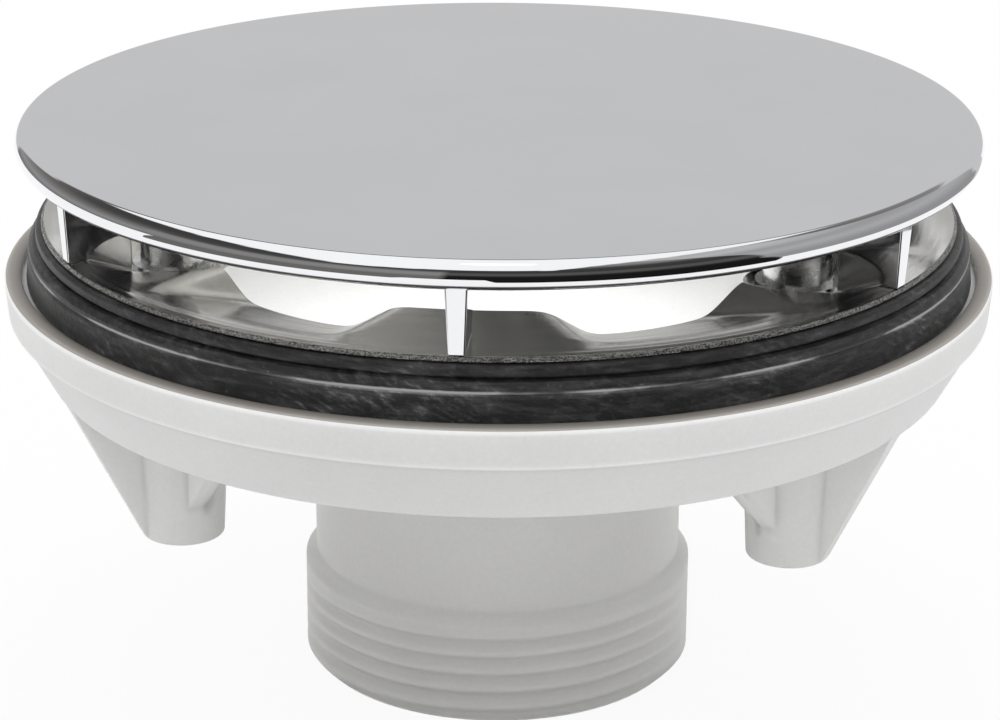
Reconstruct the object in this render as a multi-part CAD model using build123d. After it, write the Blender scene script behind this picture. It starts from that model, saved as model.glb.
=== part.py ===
from build123d import *

import os
from math import radians, sqrt, tan

# Shower tray waste with a vertical screwed outlet, standing on the outlet's end.
# Millimetres, +Z up, origin on the axis at the outlet's end face.
# Angles are counted about +Z from the -Y direction, where one rib of the hood stands.

# Outlet: a G 1 1/2 spigot under a plain neck
OUTLET_THREAD_D = 47.8
OUTLET_THREAD_LENGTH = 12.9
OUTLET_END_CHAMFER = 1.3
OUTLET_BORE_D = 40.0
NECK_D = 45.2

# Bowl and rim of the body
SEAT_HEIGHT = 50.6
RIM_D = 118.8
RIM_HEIGHT = 4.6
RIM_TAPER = 0.4
RIM_STEP = 0.5
LIP_WIDTH = 2.0
LIP_HEIGHT = 1.0
SKIRT_INSET = 4.9
SKIRT_HEIGHT = 7.4
SEAT_WIDTH = 6.4
BOWL_DRAFT = 1.0
BOWL_DEPTH = 8.4
FUNNEL_DROP = 8.0
FLOOR_WALL = 2.8
RIM_ROUND = 0.6
STEP_ROUND = 0.3
SKIRT_ROUND = 1.2
FLOOR_ROUND = 3.0

# Screw towers that show below the bowl as feet
SCREW_COUNT = 3
SCREW_CIRCLE_D = 82.8
FOOT_LENGTH = 17.1
TOWER_D = 9.8
TOWER_TOP_D = 12.2
TOWER_TOP_DROP = 4.6
TOWER_FLOOR = 2.0
TOWER_ROUND = 0.5
FIN_THICKNESS = 2.2
FIN_TOP_INSET = 0.3
GUSSET_THICKNESS = 2.2
GUSSET_START = 4.8
GUSSET_SLOPE = 43.0

# Flange screws, their washers and the brass bushes they turn in
SCREW_D = 5.0
SCREW_LENGTH = 28.0
SCREW_TIP_CHAMFER = 0.8
HEAD_D = 8.0
HEAD_HEIGHT = 5.0
HEAD_ROUND = 0.6
SLOT_WIDTH = 1.4
SLOT_DEPTH = 2.0
WASHER_D = 9.8
WASHER_THICKNESS = 0.9
BUSH_D = 7.6
BUSH_LENGTH = 14.0
BUSH_GROOVE_DEPTH = 0.5
BUSH_GROOVE_WIDTH = 2.0
SCREW_HOLE_CLEARANCE = 0.3
THREAD_CLEARANCE = 0.1
BUSH_CLEARANCE = 0.05

# Rubber seals, stacked between the rim and the flange
LOWER_SEAL_CLEARANCE = 0.6
LOWER_SEAL_HEIGHT = 3.8
UPPER_SEAL_OVERHANG = 1.6
UPPER_LIP_INSET = 0.9
UPPER_SEAL_HEIGHT = 3.0
UPPER_LIP_HEIGHT = 1.35
SEAL_GROOVE_DEPTH = 1.3
SEAL_INSET = 0.4
SEAL_ROUND = 0.5

# Pressed steel flange
FLANGE_D = 109.6
SHEET = 0.6
FLANGE_FLAT = 2.3
FLANGE_HOLE_D = 79.2
CHANNEL_DROP = 3.5
BEND_ROUND = 2.0
LAND_COUNT = 6
LAND_TIP_WIDTH = 17.8
LAND_ROOT_WIDTH = 29.4
LAND_FLANK_ANGLE = 36.0
LAND_ROUND = 1.2
SCREW_SEAT_DROP = 2.4
SCREW_SEAT_D = 10.4
SCREW_TAB_D = 12.4
DIMPLE_LENGTH = 22.2
DIMPLE_WIDTH = 17.0

# Plated hood
COVER_D = 115.0
COVER_EDGE = 3.3
COVER_CROWN = 1.0
COVER_WALL = 2.0
COVER_LIP_WIDTH = 2.6
INLET_GAP = 7.9
RIB_COUNT = 6
RIB_SCREW_CLEARANCE = 0.6
RIB_TOP_THICKNESS = 2.7
RIB_FOOT_THICKNESS = 1.9
RIB_FOOT_ROUND = 0.4
HEEL_START = 0.6
HEEL_DROP = 1.8
RIB_EDGE_INSET = 0.2

# Heights worked out from the stack, from the outlet upwards
lower_seal_z = SEAT_HEIGHT
upper_seal_z = lower_seal_z + LOWER_SEAL_HEIGHT
flange_z = upper_seal_z + UPPER_SEAL_HEIGHT
flange_top_z = flange_z + SHEET
screw_seat_z = flange_top_z - SCREW_SEAT_DROP
head_z = screw_seat_z + WASHER_THICKNESS
cover_low_z = flange_top_z + INLET_GAP
cover_edge_top_z = cover_low_z + COVER_EDGE
cover_crown_z = cover_edge_top_z + COVER_CROWN
rim_top_z = SEAT_HEIGHT + LIP_HEIGHT
rim_low_z = rim_top_z - RIM_HEIGHT
skirt_low_z = rim_low_z - SKIRT_HEIGHT
bowl_low_z = SEAT_HEIGHT - BOWL_DEPTH
bore_top_z = bowl_low_z - FUNNEL_DROP
foot_z = skirt_low_z - FOOT_LENGTH
tower_top_z = SEAT_HEIGHT - TOWER_TOP_DROP
screw_end_z = head_z - SCREW_LENGTH
bush_low_z = tower_top_z - BUSH_LENGTH

# Radii used by more than one piece
thread_r = OUTLET_THREAD_D / 2
neck_r = NECK_D / 2
bore_r = OUTLET_BORE_D / 2
rim_r = RIM_D / 2
skirt_r = rim_r - SKIRT_INSET
lip_inner_r = rim_r - LIP_WIDTH
skirt_top_r = rim_r - RIM_TAPER - RIM_STEP
bowl_r = lip_inner_r - SEAT_WIDTH
bowl_low_r = bowl_r - BOWL_DRAFT
screw_circle_r = SCREW_CIRCLE_D / 2
flange_r = FLANGE_D / 2
flange_flat_r = flange_r - FLANGE_FLAT
flange_hole_r = FLANGE_HOLE_D / 2
cover_r = COVER_D / 2
rib_outer_r = flange_r - RIB_EDGE_INSET
rib_inner_r = screw_circle_r + WASHER_D / 2 + RIB_SCREW_CLEARANCE
bush_hole_d = BUSH_D + 2 * BUSH_CLEARANCE
thread_hole_d = SCREW_D + 2 * THREAD_CLEARANCE
screw_hole_d = SCREW_D + 2 * SCREW_HOLE_CLEARANCE


def rounded(face, corners):
    """Round corners of a flat section, each given as ((x, y), radius)."""
    for corner, radius in corners:
        nearest = face.vertices().sort_by_distance((*corner, 0))[0]
        face = fillet(nearest, radius)
    return face


def turned(points, corners=()):
    """Turn a half-section of (radius, height) points about the axis."""
    section = rounded(make_face(Polyline(*points, close=True)), corners)
    return revolve(Plane.XZ * section, Axis.Z)


def at_angle(shape, angle):
    """Swing a shape that was drawn along +X to an angle counted from -Y."""
    return Rot(0, 0, angle - 90) * shape


def around(shape, count, first=0.0):
    """Copies of a shape drawn along +X, evenly spaced about the axis."""
    return [at_angle(shape, first + i * 360 / count) for i in range(count)]


def radial_web(points, thickness):
    """A flat web in the plane through the axis and +X, from (radius, height) points."""
    section = Plane.XZ * make_face(Polyline(*points, close=True))
    return extrude(section, thickness / 2, both=True)


def bowl_shell():
    """Turned body: threaded spigot, neck, funnel floor, bowl, skirt and rim."""
    funnel = FUNNEL_DROP / (bowl_low_r - bore_r)
    floor_under_z = bowl_low_z - FLOOR_WALL
    floor_neck_z = floor_under_z - funnel * (bowl_low_r - neck_r)
    shoulder_z = OUTLET_THREAD_LENGTH + thread_r - neck_r
    rim_side = (rim_r - RIM_TAPER, rim_low_z)
    points = [
        (bore_r, 0),
        (thread_r - OUTLET_END_CHAMFER, 0),
        (thread_r, OUTLET_END_CHAMFER),
        (thread_r, OUTLET_THREAD_LENGTH),
        (neck_r, shoulder_z),
        (neck_r, floor_neck_z),
        (bowl_low_r, floor_under_z),
        (skirt_r, skirt_low_z),
        (skirt_top_r, rim_low_z),
        rim_side,
        (rim_r, rim_top_z),
        (lip_inner_r, rim_top_z),
        (lip_inner_r, SEAT_HEIGHT),
        (bowl_r, SEAT_HEIGHT),
        (bowl_low_r, bowl_low_z),
        (bore_r, bore_top_z),
    ]
    corners = [
        ((neck_r, floor_neck_z), FLOOR_ROUND),
        ((skirt_r, skirt_low_z), SKIRT_ROUND),
        (rim_side, STEP_ROUND),
        ((rim_r, rim_top_z), RIM_ROUND),
        ((bowl_low_r, bowl_low_z), FLOOR_ROUND),
        ((bore_r, bore_top_z), FLOOR_ROUND),
    ]
    return turned(points, corners)


def screw_tower():
    """One tower with its outer fin and two side gussets, drawn along +X."""
    height = tower_top_z - foot_z
    post = Pos(screw_circle_r, 0, foot_z + height / 2) * Cone(TOWER_D / 2, TOWER_TOP_D / 2, height)
    post = fillet(post.edges().group_by(Axis.Z)[0], TOWER_ROUND)
    fin = radial_web(
        [
            (screw_circle_r, foot_z + TOWER_ROUND),
            (screw_circle_r + TOWER_D / 2, foot_z + TOWER_ROUND),
            (skirt_top_r - FIN_TOP_INSET, rim_low_z),
            (bowl_low_r, tower_top_z),
            (screw_circle_r, tower_top_z),
        ],
        FIN_THICKNESS,
    )
    gusset_low_z = foot_z + GUSSET_START
    gusset_top_z = bowl_low_z - FLOOR_WALL
    reach = TOWER_D / 2 + (gusset_top_z - gusset_low_z) / tan(radians(GUSSET_SLOPE))
    outline = [
        (-TOWER_D / 2, gusset_low_z),
        (TOWER_D / 2, gusset_low_z),
        (reach, gusset_top_z),
        (-reach, gusset_top_z),
    ]
    web = extrude(Plane.YZ * make_face(Polyline(*outline, close=True)), GUSSET_THICKNESS / 2, both=True)
    return post + fin + Pos(screw_circle_r, 0, 0) * web


def body_moulding():
    """White bowl with its spigot and three screw towers."""
    shell = bowl_shell()
    below_floor = turned(
        [
            (0, foot_z),
            (rim_r, foot_z),
            (rim_r, rim_low_z),
            (bowl_low_r, bowl_low_z),
            (bowl_low_r, tower_top_z),
            (0, tower_top_z),
        ]
    )
    solid = shell
    for tower in around(screw_tower(), SCREW_COUNT, 180 / SCREW_COUNT):
        solid += tower & below_floor
    pocket = Pos(screw_circle_r, 0, bush_low_z) * Cylinder(
        bush_hole_d / 2, BUSH_LENGTH + SHEET, align=(Align.CENTER, Align.CENTER, Align.MIN)
    )
    tip_room_z = foot_z + TOWER_FLOOR
    tip_room = Pos(screw_circle_r, 0, tip_room_z) * Cylinder(
        screw_hole_d / 2, tower_top_z - tip_room_z, align=(Align.CENTER, Align.CENTER, Align.MIN)
    )
    for hole in around(pocket + tip_room, SCREW_COUNT, 180 / SCREW_COUNT):
        solid -= hole
    return solid


def lower_seal():
    """Plain thick ring in the recess of the rim."""
    outer_r = lip_inner_r - LOWER_SEAL_CLEARANCE
    inner_r = bowl_r + SEAL_INSET
    points = [
        (inner_r, lower_seal_z),
        (outer_r, lower_seal_z),
        (outer_r, upper_seal_z),
        (inner_r, upper_seal_z),
    ]
    return turned(points, [((outer_r, upper_seal_z), SEAL_ROUND), ((outer_r, lower_seal_z), SEAL_ROUND)])


def upper_seal():
    """Ring with two lips and a groove between them on its outer side."""
    low_lip_r = flange_r + UPPER_SEAL_OVERHANG
    top_lip_r = low_lip_r - UPPER_LIP_INSET
    groove_z = upper_seal_z + UPPER_SEAL_HEIGHT / 2
    groove_r = top_lip_r - SEAL_GROOVE_DEPTH
    inner_r = flange_flat_r + SEAL_INSET
    points = [
        (inner_r, upper_seal_z),
        (low_lip_r, upper_seal_z),
        (low_lip_r - UPPER_LIP_INSET / 2, upper_seal_z + UPPER_LIP_HEIGHT),
        (groove_r, groove_z),
        (top_lip_r, flange_z - UPPER_LIP_HEIGHT),
        (top_lip_r, flange_z),
        (inner_r, flange_z),
    ]
    return turned(points, [((top_lip_r, flange_z), SEAL_ROUND)])


def raised_land():
    """One flat land of the pressing with its sloping flanks, drawn along +X."""
    low_z = flange_top_z - 2 * CHANNEL_DROP
    flank = (flange_top_z - low_z) / tan(radians(LAND_FLANK_ANGLE))
    start_r = flange_hole_r - FLANGE_FLAT
    end_r = flange_flat_r + FLANGE_FLAT / 2

    def section(radius):
        share = (radius - flange_hole_r) / (flange_flat_r - flange_hole_r)
        half = (LAND_TIP_WIDTH + (LAND_ROOT_WIDTH - LAND_TIP_WIDTH) * share) / 2
        corners = [(-half - flank, low_z), (half + flank, low_z), (half, flange_top_z), (-half, flange_top_z)]
        return Plane.YZ.offset(radius) * make_face(Polyline(*corners, close=True))

    land = loft([section(start_r), section(end_r)])
    long_edges = [edge for edge in land.edges() if edge.length >= end_r - start_r]
    crests = ShapeList(long_edges).sort_by(Axis.Z)[-2:]
    return fillet(crests, LAND_ROUND)


def screw_dimple():
    """The room pressed into a land above a screw's level seat, drawn along +X."""
    seat_r = SCREW_SEAT_D / 2
    overshoot = (SCREW_SEAT_DROP + SHEET) / SCREW_SEAT_DROP
    length = seat_r + (DIMPLE_LENGTH / 2 - seat_r) * overshoot
    width = seat_r + (DIMPLE_WIDTH / 2 - seat_r) * overshoot
    seat = Pos(screw_circle_r, 0, screw_seat_z) * Circle(seat_r)
    mouth = Pos(screw_circle_r, 0, flange_top_z + SHEET) * Ellipse(length, width)
    return loft([seat, mouth])


def press_form():
    """Everything below the flange's upper face: a dished ring, raised lands and the seats of the screws."""
    low_z = flange_top_z - 3 * CHANNEL_DROP
    points = [
        (flange_hole_r, low_z),
        (flange_r, low_z),
        (flange_r, flange_top_z),
        (flange_flat_r, flange_top_z),
        (flange_hole_r, flange_top_z - CHANNEL_DROP),
    ]
    form = turned(points, [((flange_flat_r, flange_top_z), BEND_ROUND)])
    ring = turned(
        [(flange_hole_r, low_z), (flange_flat_r, low_z), (flange_flat_r, flange_top_z), (flange_hole_r, flange_top_z)]
    )
    for land in around(raised_land(), LAND_COUNT):
        form += land & ring
    tab = Pos(screw_circle_r, 0, low_z) * Cylinder(
        SCREW_TAB_D / 2, screw_seat_z - low_z, align=(Align.CENTER, Align.CENTER, Align.MIN)
    )
    for copy in around(tab, SCREW_COUNT, 180 / SCREW_COUNT):
        form += copy
    for dimple in around(screw_dimple(), SCREW_COUNT, 180 / SCREW_COUNT):
        form -= dimple
    return form


def steel_flange():
    """Pressed sheet ring: the form's upper face with one sheet's thickness under it."""
    form = press_form()
    sheet = form - Pos(0, 0, -SHEET) * form
    hole = Pos(screw_circle_r, 0, screw_seat_z) * Cylinder(screw_hole_d / 2, 4 * SHEET)
    for cut in around(hole, SCREW_COUNT, 180 / SCREW_COUNT):
        sheet -= cut
    return sheet


def plated_cover():
    """Hood with a rounded edge and ribs that stand on the flange, close to its edge."""
    half_edge = COVER_EDGE / 2
    edge_r = cover_r - half_edge
    lip_inner_r = edge_r - COVER_LIP_WIDTH
    dome_r = (edge_r**2 + COVER_CROWN**2) / (2 * COVER_CROWN)

    def dome(r):
        return cover_crown_z - dome_r + sqrt(dome_r**2 - r**2)

    outline = [
        ThreePointArc((0, cover_crown_z), (edge_r / 2, dome(edge_r / 2)), (edge_r, cover_edge_top_z)),
        ThreePointArc(
            (edge_r, cover_edge_top_z), (cover_r, cover_low_z + half_edge), (edge_r, cover_low_z)
        ),
        Line((edge_r, cover_low_z), (lip_inner_r, cover_low_z)),
        Line((lip_inner_r, cover_low_z), (lip_inner_r, dome(lip_inner_r) - COVER_WALL)),
        ThreePointArc(
            (lip_inner_r, dome(lip_inner_r) - COVER_WALL),
            (lip_inner_r / 2, dome(lip_inner_r / 2) - COVER_WALL),
            (0, cover_crown_z - COVER_WALL),
        ),
        Line((0, cover_crown_z - COVER_WALL), (0, cover_crown_z)),
    ]
    hood = revolve(Plane.XZ * make_face(outline), Axis.Z)
    rib_top_z = cover_edge_top_z - COVER_WALL / 2
    half_top = RIB_TOP_THICKNESS / 2
    half_foot = RIB_FOOT_THICKNESS / 2
    feet = [(-half_foot, flange_top_z), (half_foot, flange_top_z)]
    section = make_face(Polyline(*feet, (half_top, rib_top_z), (-half_top, rib_top_z), close=True))
    section = rounded(section, [(foot, RIB_FOOT_ROUND) for foot in feet])
    rib = Pos(rib_inner_r, 0, 0) * extrude(Plane.YZ * section, rib_outer_r - rib_inner_r)
    heel_start_r = flange_flat_r - HEEL_START
    heel = radial_web(
        [
            (rib_inner_r, flange_top_z - HEEL_DROP),
            (heel_start_r, flange_top_z),
            (heel_start_r, rib_top_z),
            (rib_inner_r, rib_top_z),
        ],
        RIB_FOOT_THICKNESS,
    )
    for copy in around(rib, RIB_COUNT):
        hood += copy
    for copy in around(heel, SCREW_COUNT, 180 / SCREW_COUNT):
        hood += copy
    return hood


def flange_screw():
    """Slotted cylinder-head screw, drawn along +X of the screw circle."""
    shank = Pos(0, 0, screw_end_z) * Cylinder(
        SCREW_D / 2, SCREW_LENGTH, align=(Align.CENTER, Align.CENTER, Align.MIN)
    )
    shank = chamfer(shank.edges().group_by(Axis.Z)[0], SCREW_TIP_CHAMFER)
    head = Pos(0, 0, head_z) * Cylinder(
        HEAD_D / 2, HEAD_HEIGHT, align=(Align.CENTER, Align.CENTER, Align.MIN)
    )
    head = fillet(head.edges().group_by(Axis.Z)[-1], HEAD_ROUND)
    slot = Pos(0, 0, head_z + HEAD_HEIGHT) * Box(2 * HEAD_D, SLOT_WIDTH, 2 * SLOT_DEPTH)
    return Pos(screw_circle_r, 0, 0) * (shank + head - slot)


def washer():
    """Flat washer under one screw head."""
    disc = Cylinder(WASHER_D / 2, WASHER_THICKNESS, align=(Align.CENTER, Align.CENTER, Align.MIN))
    hole = Cylinder(screw_hole_d / 2, 4 * WASHER_THICKNESS)
    return Pos(screw_circle_r, 0, screw_seat_z) * (disc - hole)


def threaded_bush():
    """Brass bush with a grip groove, standing on the step of its pocket."""
    half_groove = BUSH_GROOVE_WIDTH / 2
    middle = bush_low_z + BUSH_LENGTH / 2
    outer = BUSH_D / 2
    groove = outer - BUSH_GROOVE_DEPTH
    bush = turned(
        [
            (thread_hole_d / 2, bush_low_z),
            (outer, bush_low_z),
            (outer, middle - half_groove),
            (groove, middle - half_groove),
            (groove, middle + half_groove),
            (outer, middle + half_groove),
            (outer, tower_top_z),
            (thread_hole_d / 2, tower_top_z),
        ]
    )
    return Pos(screw_circle_r, 0, 0) * bush


def set_of(piece):
    """The same small piece at every screw."""
    return Compound(children=around(piece, SCREW_COUNT, 180 / SCREW_COUNT))


nodes = {
    "body": body_moulding(),
    "lower_seal": lower_seal(),
    "upper_seal": upper_seal(),
    "flange": steel_flange(),
    "cover": plated_cover(),
    "flange_screws": set_of(flange_screw()),
    "screw_washers": set_of(washer()),
    "threaded_bushes": set_of(threaded_bush()),
}

os.makedirs("parts", exist_ok=True)
for name, shape in nodes.items():
    export_step(shape, f"parts/{name}.step")
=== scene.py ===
import math

import bmesh
import bpy
import numpy as np
from mathutils import Matrix, Vector


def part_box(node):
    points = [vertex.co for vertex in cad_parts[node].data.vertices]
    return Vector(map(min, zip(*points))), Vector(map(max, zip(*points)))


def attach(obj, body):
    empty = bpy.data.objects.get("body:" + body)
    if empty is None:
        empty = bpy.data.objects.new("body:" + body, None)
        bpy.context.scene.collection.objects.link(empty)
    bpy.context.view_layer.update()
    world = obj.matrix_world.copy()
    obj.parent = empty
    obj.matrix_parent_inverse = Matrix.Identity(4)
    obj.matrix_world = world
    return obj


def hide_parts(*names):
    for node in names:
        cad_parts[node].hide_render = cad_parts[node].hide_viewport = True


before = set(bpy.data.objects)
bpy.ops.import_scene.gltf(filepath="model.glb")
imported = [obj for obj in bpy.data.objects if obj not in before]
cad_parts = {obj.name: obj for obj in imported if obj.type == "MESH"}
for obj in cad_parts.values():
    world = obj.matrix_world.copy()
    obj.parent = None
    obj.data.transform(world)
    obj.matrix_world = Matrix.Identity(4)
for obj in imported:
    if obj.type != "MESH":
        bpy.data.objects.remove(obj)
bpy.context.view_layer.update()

# Shower tray waste on a white studio floor.
# Shapes are worked out in millimetres in the part's own frame and written in metres.
MM = 0.001

# Length in metres that runs from 0 to 1 in the materials' ramps
RAMP_SPAN = 0.06

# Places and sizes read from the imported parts, in millimetres
_, cover_high = (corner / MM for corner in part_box("cover"))
_, flange_high = (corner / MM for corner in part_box("flange"))
upper_low, upper_high = (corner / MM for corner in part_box("upper_seal"))
lower_low, lower_high = (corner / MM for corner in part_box("lower_seal"))

# Hood
COVER_R = 57.5
COVER_EDGE = 3.3
COVER_CROWN = 1.0
COVER_WALL = 2.0
COVER_LIP_WIDTH = 2.6
COVER_LIP_ROUND = 0.2
COVER_INNER_ROUND = 0.6
RIB_COUNT = 6
RIB_INNER_R = 46.9
RIB_OUTER_R = 54.6
RIB_DRAFT = 0.6
RIB_TOP_THICKNESS = 2.7
RIB_FOOT_THICKNESS = 1.9
RIB_EDGE_ROUND = 0.22
HEEL_R = 51.9
HEEL_DROP = 1.8

# Pressed flange
FLANGE_R = 54.8
FLANGE_FLAT_R = 52.5
FLANGE_HOLE_R = 39.6
SHEET = 0.6
CHANNEL_DROP = 3.5
LAND_COUNT = 6
LAND_TIP_WIDTH = 17.8
LAND_ROOT_WIDTH = 29.4
FLANK_ANGLE = 36.0
CREST_ROUND = 1.5
BEND_ROUND = 1.2
VALLEY_ROUND = 0.9
FLAT_MARGIN = 1.0
HOLE_BAND = 0.4
HOLE_BULGE = 0.05
EDGE_ROUND = 0.2
EDGE_TEAR = 0.09
EDGE_LIFT = 0.1
SCREW_COUNT = 3
SCREW_CIRCLE_R = 41.4
SCREW_SEAT_R = 5.2
SCREW_SEAT_DROP = 2.4
SCREW_TAB_R = 6.2
DIMPLE_LENGTH = 22.2
DIMPLE_WIDTH = 17.0
DIMPLE_ROUND = 0.25
SEAT_BLEND = 0.6

# Seals
LOWER_SEAL_INNER_R = 51.4
LOWER_SEAL_R = 56.8
UPPER_SEAL_INNER_R = 52.9
UPPER_SEAL_R = 56.4
UPPER_LIP_INSET = 0.9
SEAL_GROOVE_DEPTH = 1.3
SEAL_WANDER = 0.05
SEAL_WAVE = 0.035
SEAL_FREE_WIDTH = 3.0
STREAK_R = 56.0

# Body
LIP_SHADE_Z = 51.2
SOFT_JUNCTION = 0.9
RIM_R = 59.4
RIM_TOP_Z = 51.6
RIM_LOW_Z = 47.0
RIM_TAPER = 0.4
RIM_STEP = 0.5
RIM_ROUND = 0.6
STEP_ROUND = 0.3
LIP_INNER_R = 57.4
SEAT_Z = 50.6
PROUD = 0.02
BURY = 0.2

# Outlet thread
THREAD_R = 23.9
THREAD_PITCH = 2.309
THREAD_DEPTH = 0.75
THREAD_TOP = 12.9
THREAD_STEP = 0.12
THREAD_RUN_OUT = 1.6
THREAD_LEAD_IN = 1.5
THREAD_SEAM = 0.06

# Studio, in metres
FLOOR_SIZE = 6.0
ROOM_R = 0.75
ROOM_FLOOR_Z = 0.0015
ROOM_STEP = 2
ROOM_TOP = 86

# Camera, fitted to the photograph's ellipses
FRAME_WIDTH = 1000
CAMERA_PLACE = (30.1, -370.8, 172.8)
CAMERA_PITCH = 19.93
CAMERA_YAW = -4.61
CAMERA_ROLL = 0.3
FOCAL_PIXELS = 3223.7
SENSOR = 36.0


def new_object(name, points, faces):
    """A smooth mesh object from points in millimetres."""
    mesh = bpy.data.meshes.new(name)
    mesh.from_pydata([Vector(p) * MM for p in points], [], faces)
    mesh.update()
    mesh.polygons.foreach_set("use_smooth", [True] * len(mesh.polygons))
    piece = bpy.data.objects.new(name, mesh)
    bpy.context.scene.collection.objects.link(piece)
    return piece


def soften(points, radii, steps=6):
    """Round the corners of a closed outline of (radius, height) points; radii is one value per corner."""
    made = []
    count = len(points)
    for i, radius in enumerate(radii):
        here = np.array(points[i], float)
        if radius == 0:
            made.append(tuple(here))
            continue
        before = np.array(points[i - 1], float) - here
        after = np.array(points[(i + 1) % count], float) - here
        before /= np.linalg.norm(before)
        after /= np.linalg.norm(after)
        half = math.acos(np.clip(before @ after, -1, 1)) / 2
        reach = radius / math.tan(half)
        middle = before + after
        centre = here + middle / np.linalg.norm(middle) * radius / math.sin(half)
        start = here + before * reach - centre
        end = here + after * reach - centre
        first = math.atan2(start[1], start[0])
        turn = math.atan2(end[1], end[0]) - first
        turn = (turn + math.pi) % (2 * math.pi) - math.pi
        for k in range(steps + 1):
            angle = first + turn * k / steps
            made.append((centre[0] + radius * math.cos(angle), centre[1] + radius * math.sin(angle)))
    return made


def ring_faces(segments, rows):
    """Faces of a ring of closed sections that have the same number of points."""
    faces = []
    for j in range(segments):
        a = j * rows
        b = (j + 1) % segments * rows
        for i in range(rows):
            k = (i + 1) % rows
            faces.append((a + i, b + i, b + k, a + k))
    return faces


def lathe(name, outline, segments, shift=None):
    """Turn a closed outline about the axis. shift(angle, index) moves a point by (radius, height)."""
    points = []
    for j in range(segments):
        angle = 2 * math.pi * j / segments
        for i, (radius, height) in enumerate(outline):
            if shift:
                extra = shift(angle, i)
                radius += extra[0]
                height += extra[1]
            points.append((radius * math.sin(angle), -radius * math.cos(angle), height))
    return new_object(name, points, ring_faces(segments, len(outline)))


def keep_flats(piece, angle=35):
    """Even shading: sharp edges stay sharp and flat faces stay flat beside small rounds."""
    for edge in piece.data.edges:
        edge.use_edge_sharp = False
    piece.data.set_sharp_from_angle(angle=math.radians(angle))
    weighted = piece.modifiers.new("even_normals", "WEIGHTED_NORMAL")
    weighted.keep_sharp = True
    weighted.weight = 50
    return piece


def outward(piece):
    """Close a mesh at its doubled points and make every face look out of its solid."""
    work = bmesh.new()
    work.from_mesh(piece.data)
    bmesh.ops.remove_doubles(work, verts=work.verts, dist=1e-7)
    bmesh.ops.delete(work, geom=[edge for edge in work.edges if not edge.link_faces], context="EDGES")
    bmesh.ops.recalc_face_normals(work, faces=work.faces)
    work.to_mesh(piece.data)
    work.free()
    return piece


# Node helpers for materials

def new_material(name):
    material = bpy.data.materials.new(name)
    material.use_nodes = True
    nodes = material.node_tree.nodes
    return material, nodes, material.node_tree.links, nodes["Principled BSDF"]


def noise(nodes, links, vector, scale, detail=4.0, roughness=0.55):
    node = nodes.new("ShaderNodeTexNoise")
    node.inputs["Scale"].default_value = scale
    node.inputs["Detail"].default_value = detail
    node.inputs["Roughness"].default_value = roughness
    links.new(vector, node.inputs["Vector"])
    return node.outputs["Fac"]


def ramp(nodes, links, value, stops):
    node = nodes.new("ShaderNodeValToRGB")
    elements = node.color_ramp.elements
    while len(elements) < len(stops):
        elements.new(0.5)
    for element, (place, colour) in zip(elements, stops):
        element.position = place
        element.color = (*colour, 1.0) if isinstance(colour, tuple) else (colour, colour, colour, 1.0)
    links.new(value, node.inputs["Fac"])
    return node.outputs["Color"]


def math_node(nodes, links, operation, *values):
    node = nodes.new("ShaderNodeMath")
    node.operation = operation
    for socket, value in zip(node.inputs, values):
        if isinstance(value, (int, float)):
            socket.default_value = value
        else:
            links.new(value, socket)
    return node.outputs["Value"]


def bump(nodes, links, shader, height, strength, distance):
    node = nodes.new("ShaderNodeBump")
    node.inputs["Strength"].default_value = strength
    node.inputs["Distance"].default_value = distance
    links.new(height, node.inputs["Height"])
    links.new(node.outputs["Normal"], shader.inputs["Normal"])
    return node


def object_place(nodes):
    return nodes.new("ShaderNodeTexCoord").outputs["Object"]


def split(nodes, links, vector):
    """The three parts of a vector."""
    node = nodes.new("ShaderNodeSeparateXYZ")
    links.new(vector, node.inputs["Vector"])
    return node.outputs


def axis_distance(nodes, links, x, y):
    squares = math_node(nodes, links, "ADD", math_node(nodes, links, "MULTIPLY", x, x),
                        math_node(nodes, links, "MULTIPLY", y, y))
    return math_node(nodes, links, "SQRT", squares)


def round_place(nodes, links, along, across):
    """Coordinates that run around the axis: (angle times along, radius times across, height times across)."""
    x, y, z = split(nodes, links, object_place(nodes))
    angle = math_node(nodes, links, "ARCTAN2", x, y)
    radius = axis_distance(nodes, links, x, y)
    combine = nodes.new("ShaderNodeCombineXYZ")
    links.new(math_node(nodes, links, "MULTIPLY", angle, along), combine.inputs["X"])
    links.new(math_node(nodes, links, "MULTIPLY", radius, across), combine.inputs["Y"])
    links.new(math_node(nodes, links, "MULTIPLY", z, across), combine.inputs["Z"])
    return combine.outputs["Vector"]


def plan_radius(nodes, links):
    """Distance from the axis, as a share of the ramps' span."""
    x, y, _ = split(nodes, links, object_place(nodes))
    return math_node(nodes, links, "MULTIPLY", axis_distance(nodes, links, x, y), 1 / RAMP_SPAN)


def slanted_place(nodes, links):
    """Coordinates for short streaks that climb across the ring as they go round it."""
    x, y, z = split(nodes, links, object_place(nodes))
    arc = math_node(nodes, links, "MULTIPLY", math_node(nodes, links, "ARCTAN2", x, y), STREAK_R * MM)
    combine = nodes.new("ShaderNodeCombineXYZ")
    lean = math_node(nodes, links, "ADD", arc, math_node(nodes, links, "MULTIPLY", z, 0.9))
    rise = math_node(nodes, links, "SUBTRACT", z, math_node(nodes, links, "MULTIPLY", arc, 0.45))
    links.new(math_node(nodes, links, "MULTIPLY", lean, 420.0), combine.inputs["X"])
    links.new(math_node(nodes, links, "MULTIPLY", rise, 1500.0), combine.inputs["Y"])
    return combine.outputs["Vector"]


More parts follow.
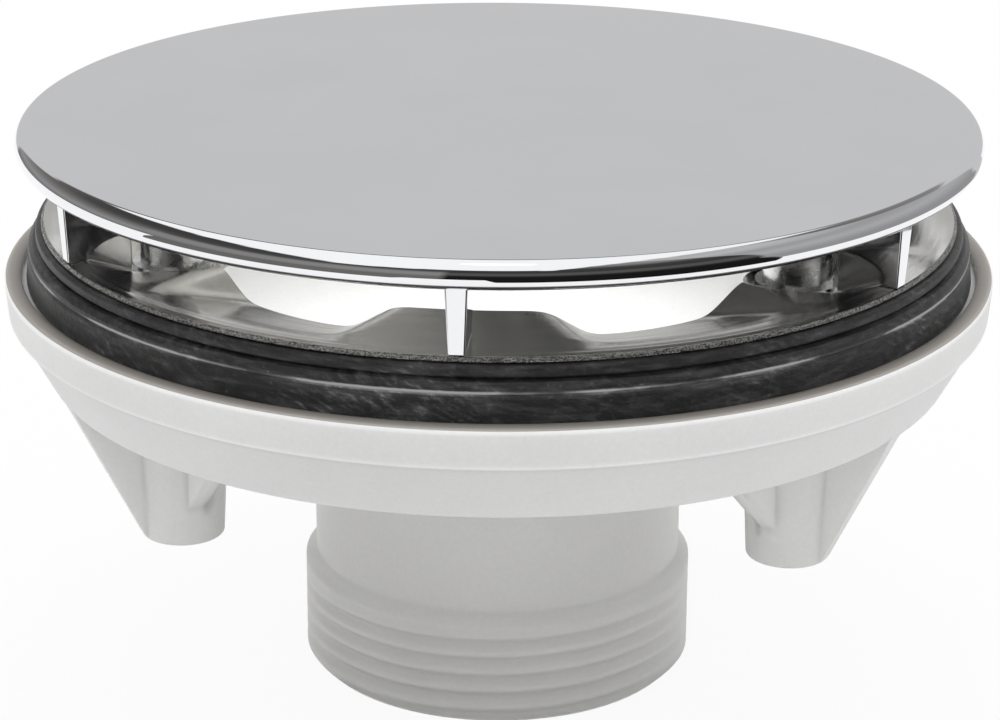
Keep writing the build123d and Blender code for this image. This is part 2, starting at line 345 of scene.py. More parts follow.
def chrome():
    """Bright plating on the hood, with faint haze; painted shade on the hidden underside, darker towards +x,
    and satin out to its lip.
    """
    material, nodes, links, shader = new_material("plated_chrome")
    place = object_place(nodes)
    shader.inputs["Metallic"].default_value = 1.0
    clouds = noise(nodes, links, place, 60)
    bright = ramp(nodes, links, clouds, [(0.3, (0.88, 0.885, 0.905)), (0.7, (0.91, 0.915, 0.935))])
    x, y, _ = split(nodes, links, place)
    radius = axis_distance(nodes, links, x, y)
    facing = nodes.new("ShaderNodeNewGeometry")
    normal = split(nodes, links, facing.outputs["Normal"])
    down = math_node(nodes, links, "LESS_THAN", normal["Z"], -0.9)
    inside = math_node(nodes, links, "LESS_THAN", radius, 0.045)
    hidden = math_node(nodes, links, "MULTIPLY", down, inside)
    tone = nodes.new("ShaderNodeMix")
    tone.data_type = "RGBA"
    links.new(hidden, tone.inputs["Factor"])
    links.new(bright, tone.inputs[6])
    # Painted shade: the underside is darkened, unevenly and more towards +x, so that the flange below shows a
    # painted dark reflection of it.
    uneven = math_node(nodes, links, "SUBTRACT", noise(nodes, links, place, 40, 2.0),
                       math_node(nodes, links, "MULTIPLY", x, 26.0))
    underside_shade = ramp(nodes, links, uneven, [(0.35, (0.08, 0.08, 0.078)), (0.85, (0.6, 0.595, 0.58))])
    links.new(underside_shade, tone.inputs[7])
    links.new(tone.outputs[2], shader.inputs["Base Color"])
    haze = ramp(nodes, links, noise(nodes, links, place, 220), [(0.35, 0.02), (0.7, 0.05)])
    satin = math_node(nodes, links, "MULTIPLY", down, math_node(nodes, links, "LESS_THAN", radius, 0.0535))
    links.new(math_node(nodes, links, "ADD", haze, math_node(nodes, links, "MULTIPLY", satin, 0.1)),
              shader.inputs["Roughness"])
    return material


def pressed_steel():
    """Polished stainless sheet with fine drawing marks and a torn outer edge whose sparkle is painted: dark
    specks in its base colour leave the rest to read as glints.
    """
    material, nodes, links, shader = new_material("pressed_steel")
    shader.inputs["Metallic"].default_value = 1.0
    streaks = noise(nodes, links, round_place(nodes, links, 3.0, 1500.0), 1.0, 6.0)
    clouds = noise(nodes, links, object_place(nodes), 90)
    grain = noise(nodes, links, object_place(nodes), 4500, 2.0)
    torn = ramp(nodes, links, plan_radius(nodes, links), [(0.907, 0.0), (0.909, 1.0)])
    tone = ramp(nodes, links, clouds, [(0.3, (0.62, 0.61, 0.585)), (0.7, (0.72, 0.71, 0.685))])
    # Painted glints: on the torn edge the grain darkens the base colour in specks, so the rest of the edge
    # reads as glints.
    glint_gaps = math_node(nodes, links, "MULTIPLY", torn, ramp(nodes, links, grain, [(0.42, 0.7), (0.53, 0.0)]))
    sparkle = nodes.new("ShaderNodeVectorMath")
    sparkle.operation = "SCALE"
    links.new(tone, sparkle.inputs[0])
    links.new(math_node(nodes, links, "SUBTRACT", 1.0, glint_gaps), sparkle.inputs["Scale"])
    links.new(sparkle.outputs["Vector"], shader.inputs["Base Color"])
    gloss = ramp(nodes, links, streaks, [(0.3, 0.10), (0.75, 0.24)])
    links.new(math_node(nodes, links, "ADD", gloss, math_node(nodes, links, "MULTIPLY", torn, 0.12)),
              shader.inputs["Roughness"])
    grain_depth = math_node(nodes, links, "MULTIPLY_ADD", torn, 2.5, 0.05)
    height = math_node(nodes, links, "ADD", math_node(nodes, links, "MULTIPLY", streaks, 0.15),
                       math_node(nodes, links, "MULTIPLY", grain, grain_depth))
    bump(nodes, links, shader, height, 0.5, 0.0002)
    return material


def rubber():
    """Black rubber with pale scuffs, dust and slanting streaks, and a painted highlight along the edge where
    the two seals meet.
    """
    material, nodes, links, shader = new_material("seal_rubber")
    around = noise(nodes, links, round_place(nodes, links, 9.0, 900.0), 1.0, 8.0, 0.65)
    patches = noise(nodes, links, object_place(nodes), 70, 3.0)
    fine = noise(nodes, links, round_place(nodes, links, 60.0, 1600.0), 1.0, 8.0, 0.7)
    slant = noise(nodes, links, slanted_place(nodes, links), 1.0, 5.0, 0.6)
    speck = noise(nodes, links, object_place(nodes), 1500, 4.0, 0.7)
    scuff = math_node(nodes, links, "MULTIPLY", ramp(nodes, links, slant, [(0.48, 0.0), (0.75, 0.6)]),
                      ramp(nodes, links, patches, [(0.38, 0.1), (0.62, 1.0)]))
    dust = math_node(nodes, links, "MULTIPLY", ramp(nodes, links, speck, [(0.58, 0.0), (0.74, 0.6)]),
                     ramp(nodes, links, fine, [(0.4, 0.2), (0.7, 1.0)]))
    lines = math_node(nodes, links, "ADD", dust, ramp(nodes, links, around, [(0.48, 0.0), (0.8, 0.5)]))
    # Painted highlight: a pale band along the upper seal's lower edge, where the two seals meet, stands in
    # for the light caught there.
    _, _, z = split(nodes, links, object_place(nodes))
    seam_height = math_node(nodes, links, "MULTIPLY", z, 1 / RAMP_SPAN)
    seam_z = upper_low.z * MM / RAMP_SPAN
    seam = ramp(nodes, links, seam_height, [
        (seam_z - 0.001, 0.0), (seam_z, 1.0), (seam_z + 0.0035, 1.0), (seam_z + 0.005, 0.0)])
    seam = math_node(nodes, links, "MULTIPLY", seam, ramp(nodes, links, patches, [(0.35, 0.25), (0.6, 1.6)]))
    # The tone mixes real scuffs, dust and streaks with the painted highlight.
    wear_and_highlight = math_node(nodes, links, "ADD", scuff, math_node(nodes, links, "ADD", lines, seam))
    tone = ramp(nodes, links, wear_and_highlight, [(0.0, 0.018), (0.3, 0.06), (0.7, 0.2), (1.0, 0.4)])
    links.new(tone, shader.inputs["Base Color"])
    links.new(ramp(nodes, links, wear_and_highlight, [(0.0, 0.34), (1.0, 0.6)]), shader.inputs["Roughness"])
    height = math_node(nodes, links, "ADD", fine, math_node(nodes, links, "MULTIPLY", slant, 0.7))
    bump(nodes, links, shader, height, 0.45, 0.0004)
    return material


def white_plastic():
    """Natural white moulding with painted shade: darker low down and under the rim's step, with painted
    highlights along the step's edge and the lip's round, and painted shade on the lip's top face.
    """
    material, nodes, links, shader = new_material("white_plastic")
    place = object_place(nodes)
    _, _, z = split(nodes, links, place)
    height = math_node(nodes, links, "MULTIPLY", z, 1 / RAMP_SPAN)
    # Painted shade and highlights by height: darker towards the bottom, a thin painted shadow just under the
    # rim's step, a painted highlight along the step's edge at RIM_LOW_Z, the lower tier a little darker than
    # the rim, and a painted highlight over the lip's round above 51.1 mm.
    tone = ramp(nodes, links, height, [
        (0.0, (0.66, 0.655, 0.64)), (0.22, (0.69, 0.685, 0.67)), (0.40, (0.77, 0.767, 0.755)),
        (0.62, (0.78, 0.78, 0.775)), (0.768, (0.76, 0.76, 0.755)), (0.7785, (0.70, 0.70, 0.695)),
        (0.781, (0.94, 0.94, 0.935)), (0.787, (0.92, 0.92, 0.915)), (0.79, (0.81, 0.81, 0.805)),
        (0.849, (0.83, 0.83, 0.825)), (0.852, (0.96, 0.96, 0.955))])
    cloud = nodes.new("ShaderNodeMix")
    cloud.data_type = "RGBA"
    cloud.blend_type = "MULTIPLY"
    cloud.inputs["Factor"].default_value = 1.0
    links.new(tone, cloud.inputs[6])
    patches = noise(nodes, links, place, 45, 5.0)
    grain = noise(nodes, links, place, 1900, 2.0)
    mottle = math_node(nodes, links, "ADD", math_node(nodes, links, "MULTIPLY", patches, 0.6),
                       math_node(nodes, links, "MULTIPLY", grain, 0.4))
    links.new(ramp(nodes, links, mottle, [(0.3, 0.91), (0.7, 1.0)]), cloud.inputs[7])
    # Painted shade: the lip's top face, which sits under the seal and the hood, is darkened, most at its
    # inner edge beside the seal.
    facing = nodes.new("ShaderNodeNewGeometry")
    normal = split(nodes, links, facing.outputs["True Normal"])
    level = math_node(nodes, links, "GREATER_THAN", normal["Z"], 0.7)
    on_lip = math_node(nodes, links, "MULTIPLY", level,
                       math_node(nodes, links, "GREATER_THAN", z, LIP_SHADE_Z * MM))
    lip_shade = nodes.new("ShaderNodeMix")
    lip_shade.data_type = "RGBA"
    links.new(on_lip, lip_shade.inputs["Factor"])
    links.new(cloud.outputs[2], lip_shade.inputs[6])
    lip_shade_tone = ramp(nodes, links, plan_radius(nodes, links), [
        (0.955, (0.12, 0.11, 0.10)), (0.966, (0.25, 0.23, 0.21)), (0.985, (0.38, 0.355, 0.33))])
    links.new(lip_shade_tone, lip_shade.inputs[7])
    links.new(lip_shade.outputs[2], shader.inputs["Base Color"])
    shader.inputs["Roughness"].default_value = 0.4
    shader.inputs["Subsurface Weight"].default_value = 0.4
    shader.inputs["Subsurface Radius"].default_value = (1.0, 0.97, 0.92)
    shader.inputs["Subsurface Scale"].default_value = 0.002
    relief = bump(nodes, links, shader, noise(nodes, links, place, 900, 3.0), 0.1, 0.0002)
    soft = nodes.new("ShaderNodeBevel")
    soft.samples = 6
    low_down = ramp(nodes, links, height, [(0.645, 1.0), (0.66, 0.0)])
    links.new(math_node(nodes, links, "MULTIPLY", low_down, SOFT_JUNCTION * MM), soft.inputs["Radius"])
    links.new(soft.outputs["Normal"], relief.inputs["Normal"])
    return material


def screw_steel():
    """Bright turned steel."""
    material, nodes, links, shader = new_material("screw_steel")
    shader.inputs["Metallic"].default_value = 1.0
    clouds = noise(nodes, links, object_place(nodes), 300)
    tone = ramp(nodes, links, clouds, [(0.3, (0.78, 0.78, 0.77)), (0.7, (0.86, 0.86, 0.85))])
    links.new(tone, shader.inputs["Base Color"])
    gloss = ramp(nodes, links, noise(nodes, links, object_place(nodes), 700), [(0.3, 0.2), (0.7, 0.34)])
    links.new(gloss, shader.inputs["Roughness"])
    return material


def bush_brass():
    """Turned brass."""
    material, nodes, links, shader = new_material("bush_brass")
    shader.inputs["Metallic"].default_value = 1.0
    clouds = noise(nodes, links, object_place(nodes), 300)
    tone = ramp(nodes, links, clouds, [(0.3, (0.62, 0.46, 0.2)), (0.7, (0.72, 0.56, 0.28))])
    links.new(tone, shader.inputs["Base Color"])
    shader.inputs["Roughness"].default_value = 0.28
    return material


def wear_material(piece, material):
    piece.data.materials.clear()
    piece.data.materials.append(material)


def finish_piece(piece, node, material):
    wear_material(piece, material)
    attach(piece, "root")
    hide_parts(node)


# Hood

def cover_outline():
    """Section of the hood's shell, from the middle of its top round its edge to the middle underneath."""
    half_edge = COVER_EDGE / 2
    top = cover_high.z
    edge_r = COVER_R - half_edge
    edge_top = top - COVER_CROWN
    edge_middle = edge_top - half_edge
    lip_inner_r = edge_r - COVER_LIP_WIDTH
    dome_r = (edge_r**2 + COVER_CROWN**2) / (2 * COVER_CROWN)

    def dome(r):
        return top - dome_r + math.sqrt(dome_r**2 - r**2)

    outline = [(r, dome(r)) for r in np.linspace(0, edge_r, 24, endpoint=False)]
    edge_steps = 36
    for k in range(edge_steps + 1):
        angle = math.pi / 2 - math.pi * k / edge_steps
        outline.append((edge_r + half_edge * math.cos(angle), edge_middle + half_edge * math.sin(angle)))
    lip_low = edge_middle - half_edge
    inner_top = dome(lip_inner_r) - COVER_WALL
    outline += [
        (lip_inner_r + COVER_LIP_ROUND, lip_low), (lip_inner_r, lip_low + COVER_LIP_ROUND),
        (lip_inner_r, inner_top - COVER_INNER_ROUND), (lip_inner_r - COVER_INNER_ROUND, inner_top)]
    under_r = lip_inner_r - 2
    outline += [(r, dome(r) - COVER_WALL) for r in np.linspace(under_r, 0, 10)]
    return outline


def rib(name, angle, screw_behind):
    """One rib, drawn at an angle counted from -Y. One beside a screw reaches down into the screw's dimple."""
    top_z = cover_high.z - COVER_CROWN - COVER_WALL / 2
    foot_z = flange_high.z
    heel_z = foot_z - HEEL_DROP if screw_behind else foot_z

    def half(z):
        share = (z - foot_z) / (top_z - foot_z)
        return (RIB_FOOT_THICKNESS + (RIB_TOP_THICKNESS - RIB_FOOT_THICKNESS) * share) / 2

    # side view of the rib as (radius, height), running round from the inner top corner
    side = [(RIB_INNER_R, top_z), (RIB_OUTER_R + RIB_DRAFT, top_z), (RIB_OUTER_R, foot_z), (HEEL_R, foot_z),
            (RIB_INNER_R, heel_z)]
    points = []
    for sign in (-1, 1):
        for r, z in side:
            points.append((sign * half(z), -r, z))
    count = len(side)
    faces = [tuple(range(count - 1, -1, -1)), tuple(range(count, 2 * count))]
    for i in range(count):
        k = (i + 1) % count
        faces.append((i, k, count + k, count + i))
    turn = Matrix.Rotation(math.radians(angle), 3, "Z")
    piece = new_object(name, [turn @ Vector(p) for p in points], faces)
    outward(piece)
    soft = piece.modifiers.new("soft_edges", "BEVEL")
    soft.width = RIB_EDGE_ROUND * MM
    soft.segments = 3
    soft.limit_method = "ANGLE"
    return piece


def join(pieces, name):
    """Apply each piece's modifiers and put the meshes into one object."""
    depsgraph = bpy.context.evaluated_depsgraph_get()
    work = bmesh.new()
    for piece in pieces:
        shown = piece.evaluated_get(depsgraph)
        mesh = shown.to_mesh()
        work.from_mesh(mesh)
        shown.to_mesh_clear()
    mesh = bpy.data.meshes.new(name)
    work.to_mesh(mesh)
    work.free()
    mesh.polygons.foreach_set("use_smooth", [True] * len(mesh.polygons))
    for piece in pieces:
        bpy.data.objects.remove(piece)
    whole = bpy.data.objects.new(name, mesh)
    bpy.context.scene.collection.objects.link(whole)
    return whole


def make_cover():
    shell = outward(lathe("hood_shell", cover_outline(), 288))
    ribs = [rib("hood_rib", 360 / RIB_COUNT * i, i % 2 == 1) for i in range(RIB_COUNT)]
    bpy.context.view_layer.update()
    piece = join([shell] + ribs, "hood")
    keep_flats(piece)
    finish_piece(piece, "cover", chrome())


# Flange

def screw_place(radius, angle):
    """Distance from the nearest screw's axis, and the share of the way up the wall of its dimple."""
    pitch = 2 * math.pi / SCREW_COUNT
    local = angle % pitch - pitch / 2
    along = radius * np.cos(local) - SCREW_CIRCLE_R
    across = radius * np.sin(local)
    away = np.sqrt(along**2 + across**2) + 1e-6
    mouth = away / np.sqrt((along / (DIMPLE_LENGTH / 2)) ** 2 + (across / (DIMPLE_WIDTH / 2)) ** 2)
    return away, (away - SCREW_SEAT_R) / (mouth - SCREW_SEAT_R)


def flange_drop(radius, angle):
    """How far the sheet's upper face lies below the rim, from polar coordinates."""
    slope = CHANNEL_DROP / (FLANGE_FLAT_R - FLANGE_HOLE_R)
    inside = FLANGE_FLAT_R - radius
    channel = slope * 0.5 * (inside + np.sqrt(inside**2 + BEND_ROUND**2))
    pitch = 2 * math.pi / LAND_COUNT
    local = (angle + pitch / 2) % pitch - pitch / 2
    along = radius * np.cos(local)
    across = np.abs(radius * np.sin(local))
    spread = (LAND_ROOT_WIDTH - LAND_TIP_WIDTH) / (FLANGE_FLAT_R - FLANGE_HOLE_R)
    half_width = (LAND_TIP_WIDTH + spread * (along - FLANGE_HOLE_R)) / 2
    outside = (across - half_width) * math.cos(math.atan(spread / 2))
    flank = math.tan(math.radians(FLANK_ANGLE)) * 0.5 * (outside + np.sqrt(outside**2 + CREST_ROUND**2))
    valley = np.minimum(VALLEY_ROUND, channel)
    drop = 0.5 * (channel + flank - np.sqrt((channel - flank) ** 2 + valley**2))
    away, climb = screw_place(radius, angle)
    wall = SCREW_SEAT_DROP * np.clip(1 - climb, 0, 1)
    drop = 0.5 * (drop + wall + np.sqrt((drop - wall) ** 2 + DIMPLE_ROUND**2)) - DIMPLE_ROUND / 2
    seat = np.clip((SCREW_TAB_R - away) / SEAT_BLEND, 0, 1)
    drop = drop + (np.clip(drop, 0, SCREW_SEAT_DROP) - drop) * seat
    drop = np.where((radius < FLANGE_HOLE_R) & (away < SCREW_TAB_R), SCREW_SEAT_DROP, drop)
    return np.where(radius >= FLANGE_FLAT_R + FLAT_MARGIN, 0.0, np.maximum(drop, 0.0))


def flange_hole(angle):
    """Radius of the hole's edge, which reaches inwards as a round tab under each screw."""
    pitch = 2 * math.pi / SCREW_COUNT
    local = angle % pitch - pitch / 2
    across = SCREW_CIRCLE_R * math.sin(local)
    if abs(across) >= SCREW_TAB_R or abs(local) > math.pi / 6:
        return FLANGE_HOLE_R
    tab = SCREW_CIRCLE_R * math.cos(local) - math.sqrt(SCREW_TAB_R**2 - across**2)
    return min(tab, FLANGE_HOLE_R)


def flange_section(angle, tear):
    """Section of the sheet at an angle, as (radius, height) points. tear moves its ragged edge out and up."""
    top = flange_high.z
    hole_r = flange_hole(angle)
    first = FLANGE_HOLE_R if hole_r < FLANGE_HOLE_R else FLANGE_HOLE_R + HOLE_BAND
    flat_r = FLANGE_FLAT_R + FLAT_MARGIN
    radii = np.concatenate([
        np.linspace(hole_r, first, 6)[:-1],
        np.linspace(first, flat_r, 48),
        np.linspace(flat_r + 0.3, FLANGE_R - EDGE_ROUND, 4)])
    drop = flange_drop(radii, np.full_like(radii, angle))
    upper = [(r, top - d) for r, d in zip(radii, drop)]
    ragged_r = FLANGE_R - EDGE_TEAR + EDGE_TEAR * tear[0]
    ragged_z = EDGE_LIFT * tear[1]
    rim = []
    for a in np.linspace(0.2, math.pi / 2, 4):
        lift = ragged_z * math.sin(a)
        rim.append((ragged_r - EDGE_ROUND * (1 - math.sin(a)), top - EDGE_ROUND * (1 - math.cos(a)) + lift))
    rim += [(FLANGE_R, top - SHEET + 0.1), (FLANGE_R - 0.1, top - SHEET)]
    # the hidden underside has half as many points
    lower = [(r, top - d - SHEET) for r, d in zip(radii[::-2], drop[::-2])]
    bulge_r = hole_r - HOLE_BULGE
    inner = [(bulge_r, top - drop[0] - SHEET * 0.8), (bulge_r, top - drop[0] - SHEET * 0.2)]
    return upper + rim + lower + inner


def make_flange():
    segments = 960
    torn = np.random.default_rng(17).uniform(-1, 1, (segments, 2))
    points = []
    for j in range(segments):
        angle = 2 * math.pi * j / segments
        section = flange_section(angle, torn[j])
        points += [(r * math.sin(angle), -r * math.cos(angle), z) for r, z in section]
    piece = outward(new_object("pressed_flange", points, ring_faces(segments, len(section))))
    piece.data.set_sharp_from_angle(angle=math.radians(50))
    finish_piece(piece, "flange", pressed_steel())


# Seals

def wobble(seed, size):
    """A smooth uneven line around the ring, the same on each run."""
    draw = np.random.default_rng(seed)
    waves = []
    for n in (2, 3, 5, 8, 13, 21, 34):
        waves.append((n, draw.uniform(-1, 1) / n**0.6, draw.uniform(0, 2 * math.pi)))

    def at(angle):
        return size * sum(a * math.sin(n * angle + p) for n, a, p in waves)

    return at


def make_seals():
    material = rubber()
    low = upper_low.z
    top = upper_high.z
    height = top - low
    top_lip_r = UPPER_SEAL_R - UPPER_LIP_INSET
    groove_r = top_lip_r - SEAL_GROOVE_DEPTH
    corners = [(UPPER_SEAL_INNER_R, low), (UPPER_SEAL_R, low), (UPPER_SEAL_R - 0.05, low + 0.7),
               (UPPER_SEAL_R - 0.55, low + height * 0.42), (groove_r, low + height / 2),
               (top_lip_r, top - height * 0.46), (top_lip_r, top - 0.1), (UPPER_SEAL_INNER_R, top - 0.02)]
    outline = soften(corners, [0, 0.12, 0.2, 0.15, 0.1, 0.3, 0.55, 0])
    in_out = wobble(3, SEAL_WANDER)
    up_down = wobble(5, SEAL_WAVE)

    def upper_shift(angle, index):
        radius, z = outline[index]
        free = max(0.0, min(1.0, (radius - UPPER_SEAL_INNER_R) / SEAL_FREE_WIDTH))
        # the faces that touch other pieces stay level
        clear = min(1.0, top - z) * min(1.0, z - low)
        return in_out(angle) * free, up_down(angle) * free * clear

    piece = outward(lathe("lipped_seal", outline, 360, upper_shift))
    keep_flats(piece)
    finish_piece(piece, "upper_seal", material)

    low = lower_low.z
    top = lower_high.z
    corners = [(LOWER_SEAL_INNER_R, low), (LOWER_SEAL_R - 0.3, low), (LOWER_SEAL_R, low + 0.5),
               (LOWER_SEAL_R - 0.3, top - 0.5), (LOWER_SEAL_R - 0.6, top), (LOWER_SEAL_INNER_R, top)]
    plain = soften(corners, [0, 0.2, 0.3, 0.25, 0.12, 0])
    flat_in_out = wobble(11, SEAL_WANDER)

    def lower_shift(angle, index):
        free = max(0.0, min(1.0, (plain[index][0] - LOWER_SEAL_INNER_R) / SEAL_FREE_WIDTH))
        return flat_in_out(angle) * free, 0.0

    piece = outward(lathe("flat_seal", plain, 360, lower_shift))
    keep_flats(piece)
    finish_piece(piece, "lower_seal", material)


# Body

def thread_cutter():
    """A ring that cuts the thread into the plain spigot. The thread fades at two parting lines."""
    segments = 300
    heights = np.arange(-0.6, THREAD_TOP + 0.9, THREAD_STEP)
    outer_r = THREAD_R + 2
    run_out = np.clip((THREAD_TOP - 0.4 - heights) / THREAD_RUN_OUT, 0, 1)
    fade = run_out * np.clip((heights + THREAD_LEAD_IN) / THREAD_LEAD_IN, 0, 1)
    points = []
    for j in range(segments):
        angle = 2 * math.pi * j / segments
        phase = heights / THREAD_PITCH - angle / (2 * math.pi)
        groove = 0.5 - 0.5 * np.cos(2 * math.pi * phase)
        seam = THREAD_SEAM + (1 - THREAD_SEAM) * min(1.0, max(0.0, (abs(math.cos(angle)) - 0.2) / 0.5))
        radius = THREAD_R + PROUD - THREAD_DEPTH * groove * fade * seam
        section = list(zip(radius, heights)) + [(outer_r, heights[-1]), (outer_r, heights[0])]
        points += [(r * math.sin(angle), -r * math.cos(angle), z) for r, z in section]
    return outward(new_object("thread_cutter", points, ring_faces(segments, len(section))))


def round_rim():
    """An evenly round ring that is joined to the moulding's faceted rim and stands just proud of it."""
    side_low_r = RIM_R - RIM_TAPER + PROUD
    low_z = RIM_LOW_Z - PROUD
    top_z = RIM_TOP_Z + PROUD
    lip_r = LIP_INNER_R - PROUD
    corners = [(side_low_r - RIM_STEP - BURY, low_z), (side_low_r, low_z), (RIM_R + PROUD, top_z),
               (lip_r, top_z), (lip_r, SEAT_Z - BURY), (side_low_r - 1.1, RIM_LOW_Z + 0.6)]
    return outward(lathe("round_rim", soften(corners, [0, STEP_ROUND, RIM_ROUND, 0.1, 0, 0]), 480))


def make_body():
    """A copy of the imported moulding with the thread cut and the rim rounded."""
    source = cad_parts["body"]
    piece = bpy.data.objects.new("moulded_body", source.data.copy())
    bpy.context.scene.collection.objects.link(piece)
    outward(piece)
    tools = [("DIFFERENCE", thread_cutter()), ("UNION", round_rim())]
    for operation, tool in tools:
        step = piece.modifiers.new(operation.lower(), "BOOLEAN")
        step.operation = operation
        step.solver = "EXACT"
        step.object = tool
    bpy.context.view_layer.update()
    shown = piece.evaluated_get(bpy.context.evaluated_depsgraph_get())
    mesh = bpy.data.meshes.new_from_object(shown)
    piece.modifiers.clear()
    piece.data = mesh
    for _, tool in tools:
        bpy.data.objects.remove(tool)
    mesh.polygons.foreach_set("use_smooth", [True] * len(mesh.polygons))
    keep_flats(piece, 32)
    finish_piece(piece, "body", white_plastic())


def dress_small_parts():
    steel = screw_steel()
    wear_material(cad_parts["flange_screws"], steel)
    wear_material(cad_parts["screw_washers"], steel)
    wear_material(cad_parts["threaded_bushes"], bush_brass())


# Stage, light and camera

def bare_nodes(owner):
    """The emptied node tree of a material or world."""
    owner.use_nodes = True
    owner.node_tree.nodes.clear()
    return owner.node_tree.nodes, owner.node_tree.links


def seen_directly(nodes, links):
    """1 for what the camera sees, also by reflection or through glass, and 0 for light on other surfaces."""
    path = nodes.new("ShaderNodeLightPath")
    seen = math_node(nodes, links, "MAXIMUM", path.outputs["Is Camera Ray"], path.outputs["Is Glossy Ray"])
    return math_node(nodes, links, "MAXIMUM", seen, path.outputs["Is Transmission Ray"])


def studio_floor():
    """White paper that mostly glows for the camera and still takes the object's shadow."""
    mesh = bpy.data.meshes.new("studio_floor")
    half = FLOOR_SIZE / 2
    corners = [(-half, -half, 0), (half, -half, 0), (half, half, 0), (-half, half, 0)]
    mesh.from_pydata(corners, [], [(0, 1, 2, 3)])
    floor = bpy.data.objects.new("studio_floor", mesh)
    bpy.context.scene.collection.objects.link(floor)
    material = bpy.data.materials.new("white_floor")
    nodes, links = bare_nodes(material)
    paper = nodes.new("ShaderNodeBsdfDiffuse")
    paper.inputs["Color"].default_value = (0.7, 0.7, 0.7, 1)
    white = nodes.new("ShaderNodeEmission")
    white.inputs["Strength"].default_value = 1.0
    mix = nodes.new("ShaderNodeMixShader")
    links.new(math_node(nodes, links, "MULTIPLY", seen_directly(nodes, links), 0.93), mix.inputs["Fac"])
    links.new(paper.outputs["BSDF"], mix.inputs[1])
    links.new(white.outputs["Emission"], mix.inputs[2])
    out = nodes.new("ShaderNodeOutputMaterial")
    links.new(mix.outputs["Shader"], out.inputs["Surface"])
    floor.data.materials.append(material)


def room_tone(angle, elevation):
    """Brightness of the studio in the plating, by angle from the camera's side and elevation, in degrees."""
    turn = math.radians(angle)
    rise = math.radians(max(elevation, 0.5))
    x_slope = math.sin(turn) / math.tan(rise)
    y_slope = -math.cos(turn) / math.tan(rise)
    overhead_softbox = -0.66 < x_slope < 0.32 and -1.0 < y_slope < 1.2
    back = abs(angle) > 140
    if overhead_softbox:
        return 1.0
    if back and elevation < 32:
        return 0.57
    if angle < -80:
        places, tones = [0, 12, 38, 45], [0.17, 0.28, 0.07, 0.05]
    elif angle < -7:
        places, tones = [0, 10, 24, 34, 46], [0.15, 0.24, 0.24, 0.07, 0.05]
    elif angle < 64:
        places, tones = [0, 8, 13, 24, 30, 46, 60], [0.01, 0.03, 0.09, 0.09, 0.04, 0.05, 0.25]
    elif back:
        places, tones = [32, 33, 50, 62], [0.26, 0.24, 0.14, 0.4]
    else:
        places, tones = [0, 25, 45, 60, 75], [0.30, 0.42, 0.34, 0.5, 0.4]
    return float(np.interp(elevation, places, tones))


def dark_from(angle):
    """Radius at which the room's dark floor starts. It stays pale for longer where the front rib sees it."""
    if 64 <= angle < 150:
        return 0.2
    if not -75 < angle < 64:
        return ROOM_R * 0.98
    if angle < -14:
        return 0.165
    return 0.195 if angle < 4 else 0.125


def studio_room():
    """A dome and a dark stretch of floor around the object, seen only in its reflections."""
    elevations = np.arange(0, ROOM_TOP + 1, ROOM_STEP)
    columns = 360 // ROOM_STEP
    points = []
    tones = []
    faces = []
    for j in range(columns + 1):
        angle = -180 + 360 * j / columns
        turn = math.radians(angle)
        rows = [(dark_from(angle), ROOM_FLOOR_Z, room_tone(angle, 0))]
        for elevation in elevations:
            rise = math.radians(elevation)
            height = ROOM_FLOOR_Z + ROOM_R * math.sin(rise)
            rows.append((ROOM_R * math.cos(rise), height, room_tone(angle, elevation)))
        for r, z, tone in rows:
            points.append((r * math.sin(turn), -r * math.cos(turn), z))
            tones.append(tone)
    count = len(elevations) + 1
    for j in range(columns):
        a = j * count
        b = a + count
        for i in range(count - 1):
            faces.append((a + i, b + i, b + i + 1, a + i + 1))
    mesh = bpy.data.meshes.new("studio_room")
    mesh.from_pydata(points, [], faces)
    layer = mesh.color_attributes.new("tone", "FLOAT_COLOR", "POINT")
    for i, tone in enumerate(tones):
        # the mid greys of the room are a little warm
        warm = 1.0 - 0.1 * max(0.0, 1 - abs(tone - 0.15) * 8)
        layer.data[i].color = (tone, tone * (0.5 + warm / 2), tone * warm, 1)
    room = bpy.data.objects.new("studio_room", mesh)
    bpy.context.scene.collection.objects.link(room)
    material = bpy.data.materials.new("studio_room")
    nodes, links = bare_nodes(material)
    shade = nodes.new("ShaderNodeVertexColor")
    shade.layer_name = "tone"
    glow = nodes.new("ShaderNodeEmission")
    links.new(shade.outputs["Color"], glow.inputs["Color"])
    out = nodes.new("ShaderNodeOutputMaterial")
    links.new(glow.outputs["Emission"], out.inputs["Surface"])
    mesh.materials.append(material)
    room.visible_camera = False
    room.visible_diffuse = False
    room.visible_shadow = False
    room.visible_transmission = False


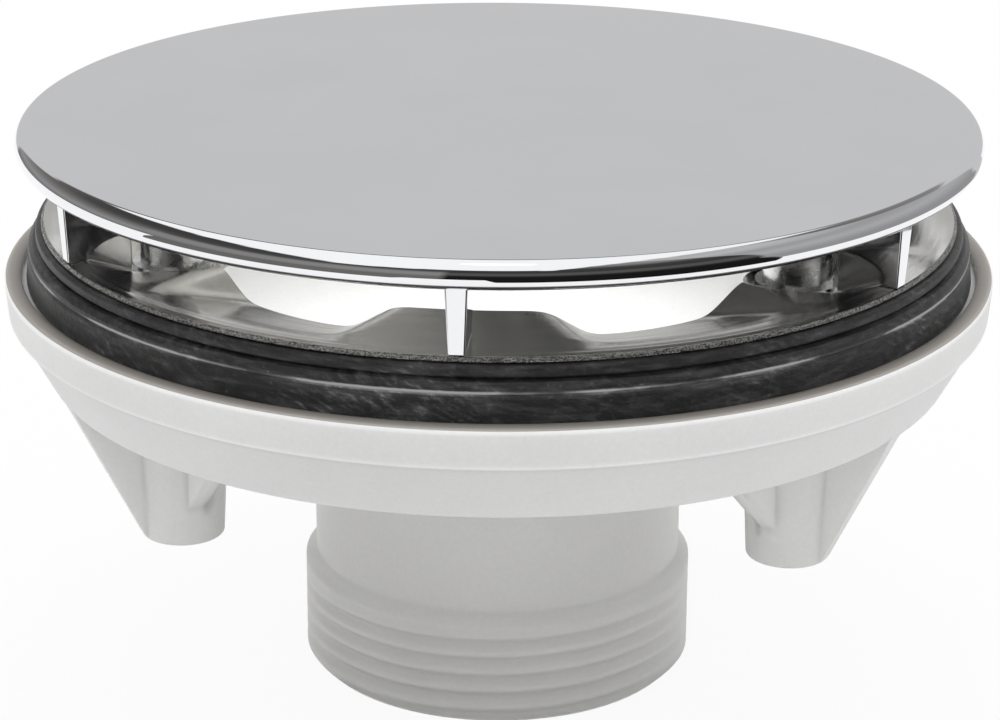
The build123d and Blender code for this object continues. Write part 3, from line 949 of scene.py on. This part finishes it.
def studio_world():
    """Even soft light, with a plain white background for the camera."""
    world = bpy.data.worlds.new("studio")
    bpy.context.scene.world = world
    nodes, links = bare_nodes(world)
    soft = nodes.new("ShaderNodeBackground")
    soft.inputs["Color"].default_value = (1, 1, 1, 1)
    soft.inputs["Strength"].default_value = 0.80
    white = nodes.new("ShaderNodeBackground")
    white.inputs["Color"].default_value = (1, 1, 1, 1)
    white.inputs["Strength"].default_value = 1.0
    mix = nodes.new("ShaderNodeMixShader")
    links.new(seen_directly(nodes, links), mix.inputs["Fac"])
    links.new(soft.outputs["Background"], mix.inputs[1])
    links.new(white.outputs["Background"], mix.inputs[2])
    out = nodes.new("ShaderNodeOutputWorld")
    links.new(mix.outputs["Shader"], out.inputs["Surface"])


def softbox(name, place, size, power):
    light = bpy.data.lights.new(name, "AREA")
    light.shape = "RECTANGLE"
    light.size, light.size_y = size
    light.energy = power
    lamp = bpy.data.objects.new(name, light)
    lamp.location = place
    lamp.rotation_euler = (Vector((0, 0, 0.04)) - Vector(place)).to_track_quat("-Z", "Y").to_euler()
    bpy.context.scene.collection.objects.link(lamp)


def bowl_lamp():
    """A small lamp under the hood that keeps the inside of the bowl white."""
    light = bpy.data.lights.new("bowl_lamp", "AREA")
    light.shape = "DISK"
    light.size = 0.06
    light.energy = 0.036
    lamp = bpy.data.objects.new("bowl_lamp", light)
    lamp.location = (0, 0, 0.066)
    lamp.visible_camera = False
    lamp.visible_glossy = False
    bpy.context.scene.collection.objects.link(lamp)


def photo_camera():
    pitch, yaw, roll = (math.radians(a) for a in (CAMERA_PITCH, CAMERA_YAW, CAMERA_ROLL))
    forward = Vector((math.sin(yaw) * math.cos(pitch), math.cos(yaw) * math.cos(pitch), -math.sin(pitch)))
    right = forward.cross(Vector((0, 0, 1))).normalized()
    up = right.cross(forward)
    level_right = right * math.cos(roll) + up * math.sin(roll)
    level_up = up * math.cos(roll) - right * math.sin(roll)
    data = bpy.data.cameras.new("camera")
    data.sensor_width = SENSOR
    data.lens = SENSOR * FOCAL_PIXELS / FRAME_WIDTH
    camera = bpy.data.objects.new("camera", data)
    turn = Matrix((level_right, level_up, -forward)).transposed()
    camera.matrix_world = Matrix.Translation(Vector(CAMERA_PLACE) * MM) @ turn.to_4x4()
    bpy.context.scene.collection.objects.link(camera)
    bpy.context.scene.camera = camera


make_cover()
make_flange()
make_seals()
make_body()
dress_small_parts()
studio_floor()
studio_room()
studio_world()
softbox("top_softbox", (0.0, 0.15, 1.1), (1.2, 1.2), 10.0)
bowl_lamp()
photo_camera()
bpy.context.scene.view_settings.view_transform = "Standard"
